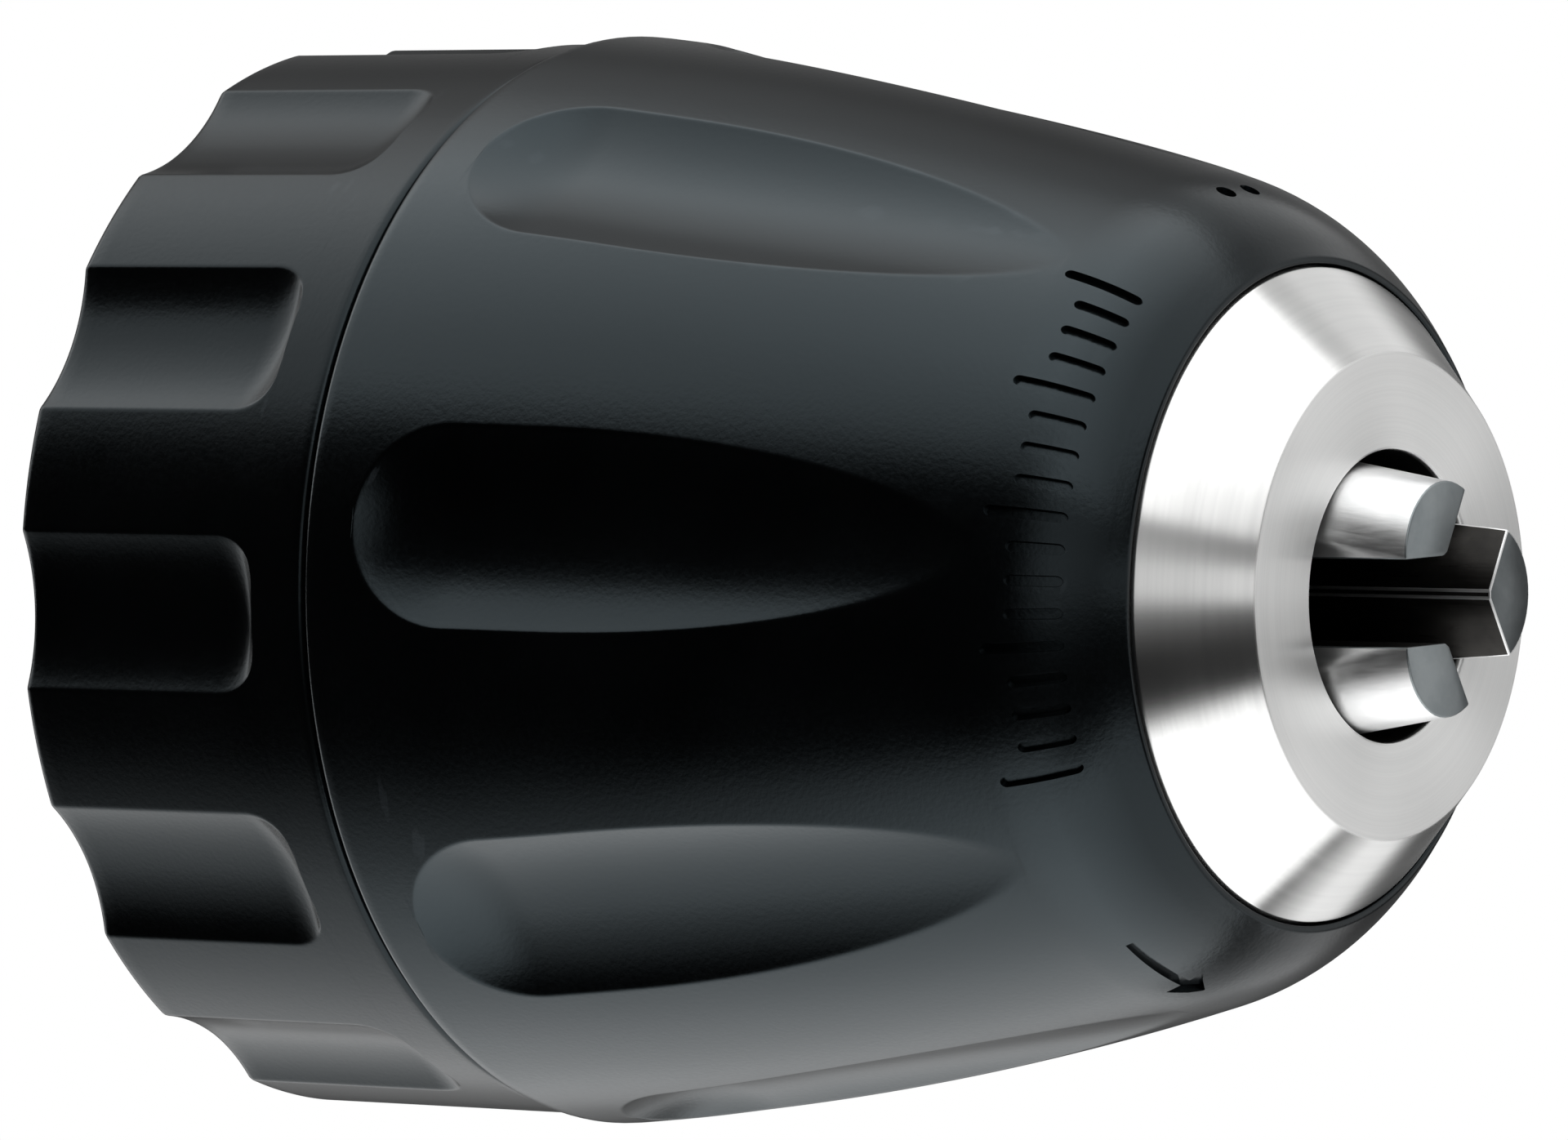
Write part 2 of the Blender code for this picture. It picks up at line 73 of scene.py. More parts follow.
# ---- steel body -------------------------------------------------------------------------
FACE_RADIUS = 9.13
THROAT_RADIUS = 5.48
THROAT_SEAM = 3.0                   # depth in the throat where the outline starts and ends
BODY_RADIUS = 12.05
NOSE_RADIUS = 12.3
NOSE_STEP_Z = 44.6
CONE_START_Z = FACE_Z - 3.25
WAIST_RADIUS = 8.6
PILOT_RADIUS = 12.9
FLANGE_Z = (18.5, 22.4)
HUB_RADIUS = 8.8
THREAD_CREST = 4.3
THREAD_ROOT = 4.8
THREAD_PITCH = 25.4 / 24
SPINDLE_DEPTH = 14.5
MOUTH_RADIUS = THREAD_ROOT + 0.35
MOUTH_DEPTH = 0.55
WEB_RADIUS = 3.2
THROAT_FLOOR_Z = (20.0, 22.0)
WAIST_Z = (26.4, 32.6)
SNAP_GROOVE_Z = (42.4, 43.8)
SNAP_GROOVE_RADIUS = 11.2

# ---- jaws: their directions come from the joints they slide on -----------------------------
SLIDES = [j for j in frame["record"]["behaviour"]["joints"] if j["type"] == "slide"]
JAW_AZIMUTHS = [math.degrees(math.atan2(j["axis"][1], j["axis"][0])) for j in SLIDES]
JAW_TILT = math.asin(math.hypot(*SLIDES[0]["axis"][:2]))
JAW_RADIUS = 2.75
JAW_LENGTH = 33.6
JAW_AXIS_AT_FACE = 2.51
JAW_OPENING = 1.96
JAW_WEDGE_APEX = 1.88
JAW_EDGE = 0.07
JAW_BORE_RADIUS = 2.95
JAW_BORE_Z = (4.5, 48.3)
TOOTH_PITCH = 1.411
TOOTH_DEPTH = 0.6
TOOTH_Z = (19.0, 46.8)

# ---- front sleeve -----------------------------------------------------------------------
SLEEVE_REAR = (SLEEVE_EDGE_Z + 0.3, SLEEVE_RADIUS)
SLEEVE_SHOULDER = (41.15, 15.9)
SLEEVE_LIP = (LIP_Z - 0.3, 13.0)
BARREL_ARC = 144.0
SHOULDER_ARC = 9.7
LIP_RADIUS = 12.42
LIP_TOP_RADIUS = 12.68
FLUTE_COUNT = 8
FLUTE_AZIMUTH = -95.3
FLUTE_Z = (16.3, 41.2)
FLUTE_DEPTH = 1.17
FLUTE_SCALLOP = 9.6
FLUTE_REAR_ARC = 6.4
FLUTE_FLOOR_Z = FLUTE_Z[0] + math.sqrt(2 * FLUTE_REAR_ARC * FLUTE_DEPTH)
FLUTE_TAPER_Z = 24.0
HOLLOW_RADIUS = 16.7
BAND_ROOM_RADIUS = 15.6
BAND_ROOM_Z = (26.8, 33.2)
SNAP_ROOM_RADIUS = 13.05
SNAP_ROOM_Z = (41.4, SNAP_GROOVE_Z[1])
LUG_CENTRE = (15.45, 0.0, 29.5)
LUG_SIZE = (1.5, 2.8, 4.2)

# ---- rear sleeve ------------------------------------------------------------------------
RING_HOLLOW = 16.9
RING_WALL = 3.0
RING_BORE_RADIUS = 9.1
RING_RECESS_RADII = (10.6, 17.2)
RING_RECESS_DEPTH = 0.25
RING_FLAT_RADIUS = 19.6
RING_FRONT_RADIUS = 19.0
RING_RIM = ((20.2, 0.85), (19.7, 0.4))      # radii on the rear face, and a groove's share there
GROOVE_COUNT = 12
GROOVE_AZIMUTH = -85.5
GROOVE_END_Z = 11.5
GROOVE_DEPTH = 0.82
GROOVE_SCALLOP = 8.1
GROOVE_RUNOUT = 1.9

# ---- engraved scale, arrow and dots on the nose of the front sleeve -----------------------
ENGRAVING_DEPTH = 0.28
ENGRAVING_LIFT = 0.6
SCALE_AZIMUTHS = (-138.0, -63.0)
SCALE_COUNT = 17
SCALE_LONG_EVERY = 4
SCALE_Z = (41.5, 44.3)
SCALE_SHORT_Z = 42.4
SCALE_HALF_WIDTH = 0.22
ARROW_AZIMUTHS = (-30.0, -10.0)
ARROW_Z = 43.0
DOT_AZIMUTHS = (-178.0, -172.0)
DOT_Z = 42.9
DOT_RADIUS = 0.42

# ---- camera and light -------------------------------------------------------------------
VIEW_ANGLE = math.radians(53.9)     # between the spindle axis and the line of sight
VIEW_ROLL = math.radians(1.2)
LENS = 283.2
CAMERA_OFFSET = (-22.7, 0.98, 460.8)      # right, up and back from the face's centre
TOWARD_CAMERA = Vector((0.0, -1.0, 0.0))


# ================================ turned and scalloped forms =============================
def arc_centre(start, end, radius):
    """Centre, toward the axis, of the circle through two (z, radius) points."""
    first = Vector(start)
    last = Vector(end)
    half = (last - first) / 2
    inward = Vector((half.y, -half.x)).normalized()
    return (first + last) / 2 + inward * math.sqrt(radius ** 2 - half.length_squared)


def barrel_radius(z):
    """Outer radius of the front sleeve at height z, without its flutes."""
    start, end, radius = SLEEVE_REAR, SLEEVE_SHOULDER, BARREL_ARC
    if z > SLEEVE_SHOULDER[0]:
        start, end, radius = SLEEVE_SHOULDER, SLEEVE_LIP, SHOULDER_ARC
    centre = arc_centre(start, end, radius)
    return centre.y + math.sqrt(radius ** 2 - (z - centre.x) ** 2)


def fillet(before, corner, after, radius, count=5):
    """Points that round a corner of a (z, radius) outline."""
    if radius <= 0.0:
        return [tuple(corner)]
    corner = Vector(corner)
    one = (Vector(before) - corner).normalized()
    two = (Vector(after) - corner).normalized()
    half = one.angle(two) / 2
    reach = radius / math.tan(half)
    centre = corner + (one + two).normalized() * (radius / math.sin(half))
    first = corner + one * reach - centre
    last = corner + two * reach - centre
    turn = first.angle(last)
    points = []
    for i in range(count + 1):
        t = i / count
        mix = (first * math.sin((1 - t) * turn) + last * math.sin(t * turn)) / math.sin(turn)
        points.append(tuple(centre + mix))
    return points


def rounded(corners):
    """Outline from (z, radius, fillet radius) corners. The first and last corners stay sharp."""
    points = [corners[0][:2]]
    for before, corner, after in zip(corners, corners[1:], corners[2:]):
        points += fillet(before[:2], corner[:2], after[:2], corner[2])
    return points + [corners[-1][:2]]


def evenly(start, end, count):
    """Values from start to end, with the last one left out."""
    return [start + (end - start) * i / count for i in range(count)]


def grid_object(name, radius, height, azimuth):
    """Closed ring of quads from rows (down the outside, up the inside) by columns (round the axis)."""
    rows, columns = radius.shape
    points = np.stack([radius * np.cos(azimuth), radius * np.sin(azimuth), height], axis=-1) * MM
    i, j = np.meshgrid(np.arange(rows), np.arange(columns), indexing="ij")
    below = (i + 1) % rows
    beside = (j + 1) % columns
    quads = np.stack([i * columns + j, below * columns + j,
                      below * columns + beside, i * columns + beside], axis=-1)
    mesh = bpy.data.meshes.new(name)
    mesh.from_pydata(points.reshape(-1, 3).tolist(), [], quads.reshape(-1, 4).tolist())
    piece = bpy.data.objects.new(name, mesh)
    bpy.context.scene.collection.objects.link(piece)
    smooth(piece)
    return piece


def smooth(piece, angle=28.0):
    """Smooth shading with the true edges kept sharp."""
    piece.data.shade_smooth()
    piece.data.set_sharp_from_angle(angle=math.radians(angle))


def turned_object(name, outline, columns):
    """A plain turned ring."""
    z, r = np.array(outline).T
    azimuth = np.linspace(0.0, math.tau, columns, endpoint=False)
    shape = (len(outline), columns)
    return grid_object(name, np.broadcast_to(r[:, None], shape), np.broadcast_to(z[:, None], shape),
                       np.broadcast_to(azimuth, shape))


def scallop_half_angle(surface, depth, scallop):
    """Half the angle that a scallop of this depth covers on a round surface."""
    if depth <= 0.0:
        return 0.0
    reach = surface + scallop - depth
    return math.acos((surface ** 2 + reach ** 2 - scallop ** 2) / (2 * surface * reach))


def sector_columns(half_pitch, half_angle, surface, inner=14, land=10):
    """Column angles across half a sector, packed closely along the edge of the scallop."""
    edge = np.array([-0.34, -0.17, -0.08, -0.03, 0.03, 0.08, 0.17, 0.34])
    least_arc = 0.5
    arc = max(half_angle * surface, least_arc)
    shrink = min(1.0, arc / 1.2)
    cluster = (arc + edge * shrink) / surface
    inside = np.linspace(0.0, cluster[0], inner + 1)[:-1]
    outside = np.linspace(cluster[-1], half_pitch, land + 1)[1:]
    return np.concatenate([inside, cluster, outside])


def scalloped_grid(name, rows, count, azimuth, scallop, edge_round):
    """Ring whose rows are (z, radius, surface, depth, share).

    surface is the round radius that the scallops are cut from, depth how deep they are at that row,
    and share how much of the cut the row takes.
    """
    half_pitch = math.pi / count
    radii, heights, angles = [], [], []
    for z, radius, surface, depth, share in rows:
        half = sector_columns(half_pitch, scallop_half_angle(surface, depth, scallop), surface)
        offsets = np.concatenate([-half[:0:-1], half[:-1]])
        reach = surface + scallop - depth
        under = scallop ** 2 - (reach * np.sin(offsets)) ** 2
        cut_floor = reach * np.cos(offsets) - np.sqrt(np.maximum(under, 0.0))
        floor = np.where(under > 0, cut_floor, surface + 1.0)
        overlap = np.maximum(edge_round - np.abs(surface - floor), 0.0) / edge_round
        cut = surface - (np.minimum(surface, floor) - overlap ** 2 * edge_round / 4)
        if depth <= 0.0:
            cut = cut * 0.0
        row_angles = [math.radians(azimuth) + k * 2 * half_pitch + offsets for k in range(count)]
        angles.append(np.concatenate(row_angles))
        radii.append(np.tile(radius - cut * share, count))
        heights.append(np.full(count * len(offsets), z))
    return grid_object(name, np.array(radii), np.array(heights), np.array(angles))


def flute_depth(z):
    """Depth of a flute: a round rear end, a level floor and a long taper to the nose."""
    rear, front = FLUTE_Z
    if z <= rear or z >= front:
        return 0.0
    if z < FLUTE_FLOOR_Z:
        return FLUTE_DEPTH - (FLUTE_FLOOR_Z - z) ** 2 / (2 * FLUTE_REAR_ARC)
    if z < FLUTE_TAPER_Z:
        return FLUTE_DEPTH
    along = (z - FLUTE_TAPER_Z) / (front - FLUTE_TAPER_Z)
    return FLUTE_DEPTH * (1 - along ** 2) ** 1.2


def groove_depth(z):
    """Depth of a rear-sleeve groove, which runs out in a quarter ellipse."""
    along = (z - GROOVE_END_Z + GROOVE_RUNOUT) / GROOVE_RUNOUT
    if along <= 0.0:
        return GROOVE_DEPTH
    return GROOVE_DEPTH * math.sqrt(max(0.0, 1 - along ** 2))


def packed_toward(end, start, count):
    """Heights from start down to end, closer together near end, with end left out."""
    return [end + (start - end) * (1 - i / count) ** 2 for i in range(count)]


# ================================ pieces =================================================
def front_sleeve():
    """Fluted barrel with a rounded lip, a stepped bore and three drive lugs."""
    rear, front = FLUTE_Z
    lip = rounded([(LIP_Z - 2.2, LIP_RADIUS, 0), (LIP_Z, LIP_RADIUS, 0.1), (LIP_Z, LIP_TOP_RADIUS, 0.2),
                   (*SLEEVE_LIP, 0)])
    rows = [(z, r, r, 0.0, 0.0) for z, r in lip[1:-1]]
    heights = evenly(SLEEVE_LIP[0], SLEEVE_SHOULDER[0], 30) + [SLEEVE_SHOULDER[0]]
    taper_rows = 58
    heights += [front + (FLUTE_TAPER_Z - front) * (i / taper_rows) ** 1.25 for i in range(taper_rows)]
    heights += evenly(FLUTE_TAPER_Z, FLUTE_FLOOR_Z, 12)
    heights += packed_toward(rear, FLUTE_FLOOR_Z, 26)
    heights += [rear] + evenly(rear - 0.1, SLEEVE_REAR[0] + 0.1, 10)
    heights = sorted(set(round(z, 5) for z in heights), reverse=True)
    rows += [(z, barrel_radius(z), barrel_radius(z), flute_depth(z), 1.0) for z in heights]
    band_low, band_high = BAND_ROOM_Z
    snap_low, snap_high = SNAP_ROOM_Z
    inside = rounded([(SLEEVE_REAR[0] + 0.05, SLEEVE_RADIUS, 0),
                      (SLEEVE_EDGE_Z, SLEEVE_RADIUS - 0.03, 0.3),
                      (SLEEVE_EDGE_Z, HOLLOW_RADIUS, 0.25), (band_low, HOLLOW_RADIUS, 0.2),
                      (band_low, BAND_ROOM_RADIUS, 0.1), (band_high, BAND_ROOM_RADIUS, 0.6),
                      (snap_low, SNAP_ROOM_RADIUS, 0.4), (snap_high, SNAP_ROOM_RADIUS, 0.1),
                      (snap_high, LIP_RADIUS, 0.1), (LIP_Z - 2.0, LIP_RADIUS, 0)])
    rows += [(z, r, r, 0.0, 0.0) for z, r in inside[1:-1]]
    sleeve = scalloped_grid("front_sleeve_shell", rows, FLUTE_COUNT, FLUTE_AZIMUTH, FLUTE_SCALLOP, 0.05)
    engrave(sleeve)
    add_lugs(sleeve)
    smooth(sleeve)
    return sleeve


def sleeve_point(azimuth, z):
    """Point and outward normal on the front sleeve's nose."""
    step = 0.01
    slope = (barrel_radius(z + step) - barrel_radius(z - step)) / (2 * step)
    a = math.radians(azimuth)
    radius = barrel_radius(z)
    point = Vector((radius * math.cos(a), radius * math.sin(a), z))
    return point, Vector((math.cos(a), math.sin(a), -slope)).normalized()


def add_engraving(bm, path):
    """Cutter that follows (azimuth, z, half width) stations on the front sleeve."""
    places = [sleeve_point(azimuth, z) for azimuth, z, _ in path]
    sections = []
    for i, (azimuth, z, half_width) in enumerate(path):
        point, normal = places[i]
        before = places[max(i - 1, 0)][0]
        after = places[min(i + 1, len(path) - 1)][0]
        side = normal.cross(after - before).normalized() * half_width
        floor = point - normal * ENGRAVING_DEPTH
        top = point + normal * ENGRAVING_LIFT
        corners = (floor - side * 0.8, floor + side * 0.8, top + side * 1.3, top - side * 1.3)
        sections.append([bm.verts.new(corner) for corner in corners])
    bm.faces.new(reversed(sections[0]))
    bm.faces.new(sections[-1])
    for one, two in zip(sections, sections[1:]):
        for i in range(4):
            j = (i + 1) % 4
            bm.faces.new((one[i], one[j], two[j], two[i]))


def tick(azimuth, low, high):
    """Round-ended bar of the scale, along the sleeve."""
    ends = [SCALE_HALF_WIDTH * (1 - math.cos(math.pi / 2 * i / 4)) for i in range(5)]
    heights = [low + e for e in ends] + [high - e for e in reversed(ends)]
    path = []
    for z in heights:
        along = min(z - low, high - z, SCALE_HALF_WIDTH)
        width = math.sqrt(SCALE_HALF_WIDTH ** 2 - (SCALE_HALF_WIDTH - along) ** 2)
        path.append((azimuth, z, max(width, 0.03)))
    middle = (low + high) / 2
    path.insert(5, (azimuth, middle, SCALE_HALF_WIDTH))
    return path


def arrow():
    """Arrow around the sleeve that shows which way to turn it."""
    start, end = ARROW_AZIMUTHS
    neck = end - 5.0
    shaft, head = 0.22, 0.95
    path = [(start + (neck - start) * i / 8, ARROW_Z, shaft) for i in range(9)]
    return path + [(neck + 0.05, ARROW_Z, head), (end, ARROW_Z, 0.04)]


def dot(azimuth):
    """Round index dot."""
    steps = 12
    path = []
    for i in range(steps + 1):
        angle = math.pi * i / steps
        reach = math.degrees(DOT_RADIUS * math.cos(angle) / barrel_radius(DOT_Z))
        path.append((azimuth - reach, DOT_Z, max(DOT_RADIUS * math.sin(angle), 0.03)))
    return path


def engrave(sleeve):
    """Cut the scale, the arrow and the index dots into the front sleeve."""
    bm = bmesh.new()
    first, last = SCALE_AZIMUTHS
    for k in range(SCALE_COUNT):
        azimuth = first + (last - first) * k / (SCALE_COUNT - 1)
        low = SCALE_Z[0] if k % SCALE_LONG_EVERY == 0 else SCALE_SHORT_Z
        add_engraving(bm, tick(azimuth, low, SCALE_Z[1]))
    add_engraving(bm, arrow())
    for azimuth in DOT_AZIMUTHS:
        add_engraving(bm, dot(azimuth))
    bmesh.ops.recalc_face_normals(bm, faces=bm.faces)
    carve(sleeve, bmesh_object("engraving_tool", bm, shown=False))


def add_lugs(sleeve):
    """Three lugs inside the front sleeve that drive the nut's band."""
    bm = bmesh.new()
    for azimuth in JAW_AZIMUTHS:
        place = (Matrix.Rotation(math.radians(azimuth), 4, 'Z') @ Matrix.Translation(LUG_CENTRE)
                 @ Matrix.Diagonal((*LUG_SIZE, 1.0)))
        bmesh.ops.create_cube(bm, size=1.0, matrix=place)
    carve(sleeve, bmesh_object("lugs", bm, shown=False), 'UNION')


def rear_sleeve():
    """Ring with twelve grooves that are open at its rear edge."""
    outside = rounded([(RING_LENGTH, RING_HOLLOW, 0), (RING_LENGTH, RING_RADIUS, 0.3),
                       (0.0, RING_RADIUS, 0.45), (0.0, RING_FLAT_RADIUS, 0)])
    start = GROOVE_END_Z - GROOVE_RUNOUT
    top = [p for p in outside[1:-1] if p[0] > RING_LENGTH / 2]
    bottom = [p for p in outside[1:-1] if p[0] < RING_LENGTH / 2]
    heights = evenly(top[-1][0], GROOVE_END_Z + 0.1, 8)[1:] + [GROOVE_END_Z + 0.05, GROOVE_END_Z]
    heights += [GROOVE_END_Z - GROOVE_RUNOUT * (i / 24) ** 2 for i in range(1, 24)]
    heights += evenly(start, bottom[0][0], 16)
    rows = [(z, r, RING_RADIUS, 0.0, 0.0) for z, r in top]
    rows += [(z, RING_RADIUS, RING_RADIUS, groove_depth(z), 1.0) for z in heights]
    rows += [(z, r, RING_RADIUS, GROOVE_DEPTH, 1.0) for z, r in bottom]
    step = RING_RECESS_DEPTH
    inner, outer = RING_RECESS_RADII
    face = [(0.0, RING_FLAT_RADIUS, 0), (0.0, outer + 0.2, 0.15), (step, outer, 0.15),
            (step, inner, 0.15), (0.0, inner - 0.2, 0.15), (0.0, RING_BORE_RADIUS, 0.2),
            (RING_WALL, RING_BORE_RADIUS, 0.2), (RING_WALL, RING_HOLLOW, 0.6),
            (RING_LENGTH, RING_HOLLOW, 0.2), (RING_LENGTH, RING_FRONT_RADIUS, 0)]
    rows += [(0.0, r, RING_RADIUS, GROOVE_DEPTH, share) for r, share in RING_RIM]
    rows += [(z, r, RING_RADIUS, GROOVE_DEPTH, 0.0) for z, r in rounded(face)]
    return scalloped_grid("rear_sleeve_ring", rows, GROOVE_COUNT, GROOVE_AZIMUTH, GROOVE_SCALLOP, 0.05)


def jaw_matrix(azimuth):
    """Place of a jaw: its origin on its axis at the front face, its Z along the axis."""
    radial = Matrix.Rotation(math.radians(azimuth), 4, 'Z')
    offset = Matrix.Translation((JAW_AXIS_AT_FACE, 0.0, FACE_Z))
    tilt = Matrix.Rotation(-JAW_TILT, 4, 'Y')
    return radial @ offset @ tilt


def bmesh_object(name, bm, shown=True):
    """Turn a bmesh that is in millimetres into an object in metres."""
    bmesh.ops.scale(bm, vec=(MM, MM, MM), verts=bm.verts)
    mesh = bpy.data.meshes.new(name)
    bm.to_mesh(mesh)
    bm.free()
    thing = bpy.data.objects.new(name, mesh)
    if shown:
        bpy.context.scene.collection.objects.link(thing)
    return thing


def add_rod(bm, matrix, radius, z_range, segments):
    """A cylinder along the local Z of a placement, between two distances from its origin."""
    low, high = z_range
    middle = Matrix.Translation((0.0, 0.0, (low + high) / 2))
    bmesh.ops.create_cone(bm, cap_ends=True, segments=segments, radius1=radius, radius2=radius,
                          depth=high - low, matrix=matrix @ middle)


def bake(piece):
    """Turn a piece's modifiers into its mesh."""
    graph = bpy.context.evaluated_depsgraph_get()
    shape = bpy.data.meshes.new_from_object(piece.evaluated_get(graph))
    piece.modifiers.clear()
    piece.data = shape


def merge_flat_faces(piece):
    """Join the coplanar faces that a boolean leaves."""
    bm = bmesh.new()
    bm.from_mesh(piece.data)
    bmesh.ops.dissolve_limit(bm, angle_limit=math.radians(0.5), verts=bm.verts, edges=bm.edges)
    bm.to_mesh(piece.data)
    bm.free()


def carve(piece, tool, operation='DIFFERENCE'):
    """Boolean a piece with a tool object and remove the tool."""
    scene = bpy.context.scene
    if tool.name not in scene.collection.objects:
        scene.collection.objects.link(tool)
    modifier = piece.modifiers.new("carve", 'BOOLEAN')
    modifier.operation = operation
    modifier.solver = 'EXACT'
    modifier.object = tool
    bake(piece)
    bpy.data.objects.remove(tool, do_unlink=True)


def thread_rows():
    """Heights of the spindle thread's rows, from the mouth inward."""
    per_turn = 12
    count = int((SPINDLE_DEPTH - 0.9) / THREAD_PITCH * per_turn)
    return [0.6 + i * THREAD_PITCH / per_turn for i in range(count)]


def chuck_body():
    """Turned steel core with its nose, bores and spindle thread."""
    columns = 288
    web_top, throat_floor = THROAT_FLOOR_Z
    waist_low, waist_high = WAIST_Z
    flange_low, flange_high = FLANGE_Z
    snap_low, snap_high = SNAP_GROOVE_Z
    nose = [(FACE_Z - THROAT_SEAM, THROAT_RADIUS, 0), (FACE_Z, THROAT_RADIUS, 0.14),
            (FACE_Z, FACE_RADIUS, 0.10), (CONE_START_Z, NOSE_RADIUS, 0.15),
            (NOSE_STEP_Z, NOSE_RADIUS, 0.1), (NOSE_STEP_Z, BODY_RADIUS, 0.1)]
    snap_groove = [(snap_high, BODY_RADIUS, 0.05), (snap_high, SNAP_GROOVE_RADIUS, 0.1),
                   (snap_low, SNAP_GROOVE_RADIUS, 0.1), (snap_low, BODY_RADIUS, 0.05)]
    waist = [(waist_high, BODY_RADIUS, 0.15), (waist_high, WAIST_RADIUS, 0.3),
             (waist_low, WAIST_RADIUS, 0.3), (waist_low, PILOT_RADIUS, 0.15)]
    flange = [(flange_high, PILOT_RADIUS, 0.2), (flange_high, BODY_FLANGE, 0.25),
              (flange_low, BODY_FLANGE, 0.25), (flange_low, HUB_RADIUS, 0.5)]
    mouth = [(0.0, HUB_RADIUS, 0.4), (0.0, MOUTH_RADIUS, 0.08), (MOUTH_DEPTH, THREAD_CREST, 0)]
    outside = rounded(nose + snap_groove + waist + flange + mouth)
    thread = thread_rows()
    outline = outside[1:] + [(z, THREAD_CREST) for z in thread]
    outline += rounded([(thread[-1], THREAD_CREST, 0), (SPINDLE_DEPTH, THREAD_CREST, 0.2),
                        (SPINDLE_DEPTH, WEB_RADIUS, 0.2), (web_top, WEB_RADIUS, 0.2),
                        (throat_floor, THROAT_RADIUS, 0.4),
                        (FACE_Z - THROAT_SEAM, THROAT_RADIUS, 0)])[1:]
    z, r = np.array(outline).T
    azimuth = np.linspace(0.0, math.tau, columns, endpoint=False)
    turns = z[:, None] / THREAD_PITCH - azimuth[None, :] / math.tau
    wave = np.abs((turns % 1.0) * 2 - 1)
    groove = np.clip((wave - 0.25) / 0.55, 0.0, 1.0) * (THREAD_ROOT - THREAD_CREST)
    low, high = thread[0], thread[-1]
    fade = np.clip((z - low + 0.05) / 0.5, 0, 1) * np.clip((high - z) / 1.2, 0, 1)
    threaded = (z >= low) & (z <= high) & (np.abs(r - THREAD_CREST) < 1e-6)
    radius = r[:, None] + groove * (fade * threaded)[:, None]
    body = grid_object("chuck_body_core", radius, np.broadcast_to(z[:, None], radius.shape),
                       np.broadcast_to(azimuth, radius.shape))
    reach = tuple((z - FACE_Z) / math.cos(JAW_TILT) for z in JAW_BORE_Z)
    bm = bmesh.new()
    for jaw_azimuth in JAW_AZIMUTHS:
        add_rod(bm, jaw_matrix(jaw_azimuth), JAW_BORE_RADIUS, reach, 96)
    carve(body, bmesh_object("jaw_bores", bm, shown=False))
    smooth(body)
    return body


def wedge_tool(azimuth):
    """Prism that keeps a jaw's 120 degree nose, its gripping flat and its level tip."""
    slope = math.tan(math.radians(60.0))
    half_flat = slope * (JAW_OPENING - JAW_WEDGE_APEX)
    half_width = JAW_RADIUS + 1.0
    flank_end = JAW_WEDGE_APEX + half_width / slope
    back = 20.0
    outline = [(JAW_OPENING, -half_flat), (flank_end, -half_width), (back, -half_width),
               (back, half_width), (flank_end, half_width), (JAW_OPENING, half_flat)]
    bm = bmesh.new()
    base = [bm.verts.new((x, y, 0.0)) for x, y in outline]
    face = bm.faces.new(base)
    lifted = bmesh.ops.extrude_face_region(bm, geom=[face])["geom"]
    top = [item for item in lifted if isinstance(item, bmesh.types.BMVert)]
    bmesh.ops.translate(bm, vec=(0, 0, TIP_Z), verts=top)
    bmesh.ops.rotate(bm, matrix=Matrix.Rotation(math.radians(azimuth), 3, 'Z'), verts=bm.verts)
    bmesh.ops.recalc_face_normals(bm, faces=bm.faces)
    return bmesh_object("wedge_tool", bm, shown=False)


def jaw_back_radius(z):
    """Outer reach of a jaw at height z."""
    return JAW_AXIS_AT_FACE + (FACE_Z - z) * math.tan(JAW_TILT) + JAW_RADIUS / math.cos(JAW_TILT)


def tooth_tool(lead):
    """Ring with the thread's profile inside, which leaves the teeth on a jaw's back."""
    pitch = TOOTH_PITCH * math.cos(JAW_TILT)
    low, high = TOOTH_Z
    beyond = 0.2
    start = low + lead * math.cos(JAW_TILT)
    teeth = int((high - low) / pitch)
    inside = [(start - 4 * pitch, jaw_back_radius(start - 4 * pitch) + beyond)]
    for i in range(teeth):
        z = start + i * pitch
        inside.append((z, jaw_back_radius(z) + beyond))
        for part in (0.42, 0.58):
            inside.append((z + part * pitch, jaw_back_radius(z + part * pitch) - TOOTH_DEPTH))
    top = start + teeth * pitch
    inside.append((top, jaw_back_radius(top) + beyond))
    outer = jaw_back_radius(inside[0][0]) + 4.0
    return turned_object("tooth_tool", [(top, outer), (inside[0][0], outer)] + inside, 144)


def jaw(number, azimuth):
    """Ground jaw: a round rod with a wedge nose, softened edges and teeth on its back.

    Material 0 is the ground steel, 1 the tip, painted dark as shade, and 2 the flanks of the wedge,
    painted near black as shadow. Jaw 1's tip has deeper painted shade, and its bevelled edges keep the
    bright ground steel.
    """
    tip = (TIP_Z - FACE_Z) / math.cos(JAW_TILT)
    segments = 48
    half_step = Matrix.Rotation(math.pi / segments, 4, 'Z')
    bm = bmesh.new()
    add_rod(bm, jaw_matrix(azimuth) @ half_step, JAW_RADIUS, (tip - JAW_LENGTH, tip + 2.0), segments)
    piece = bmesh_object(f"jaw_{number}_ground", bm)
    # jaw 1's tip takes the deeper painted shade
    tip_material = deep_shaded_tip_steel if number == 1 else tip_steel
    for material in (jaw_steel, tip_material, shadowed_flank_steel):
        piece.data.materials.append(material)
    carve(piece, wedge_tool(azimuth), 'INTERSECT')
    merge_flat_faces(piece)
    inward = Vector((-math.cos(math.radians(azimuth)), -math.sin(math.radians(azimuth)), 0.0))
    for face in piece.data.polygons:
        face.material_index = 0
        if face.normal.z > 0.99:
            face.material_index = 1
        elif abs(face.normal.z) < 0.01 and face.normal.dot(inward) > 0.45:
            face.material_index = 2
    bevel = piece.modifiers.new("softened_edges", 'BEVEL')
    bevel.width = JAW_EDGE * MM
    bevel.segments = 2
    bevel.limit_method = 'ANGLE'
    bevel.angle_limit = math.radians(25.0)
    bevel.use_clamp_overlap = False
    # jaw 1's bevelled edges keep the bright ground steel; the others take the painted-shade tip colour
    bevel.material = 0 if number == 1 else 1
    bake(piece)
    carve(piece, tooth_tool(TOOTH_PITCH * (number - 1) / len(JAW_AZIMUTHS)))
    smooth(piece, 40.0)
    return piece


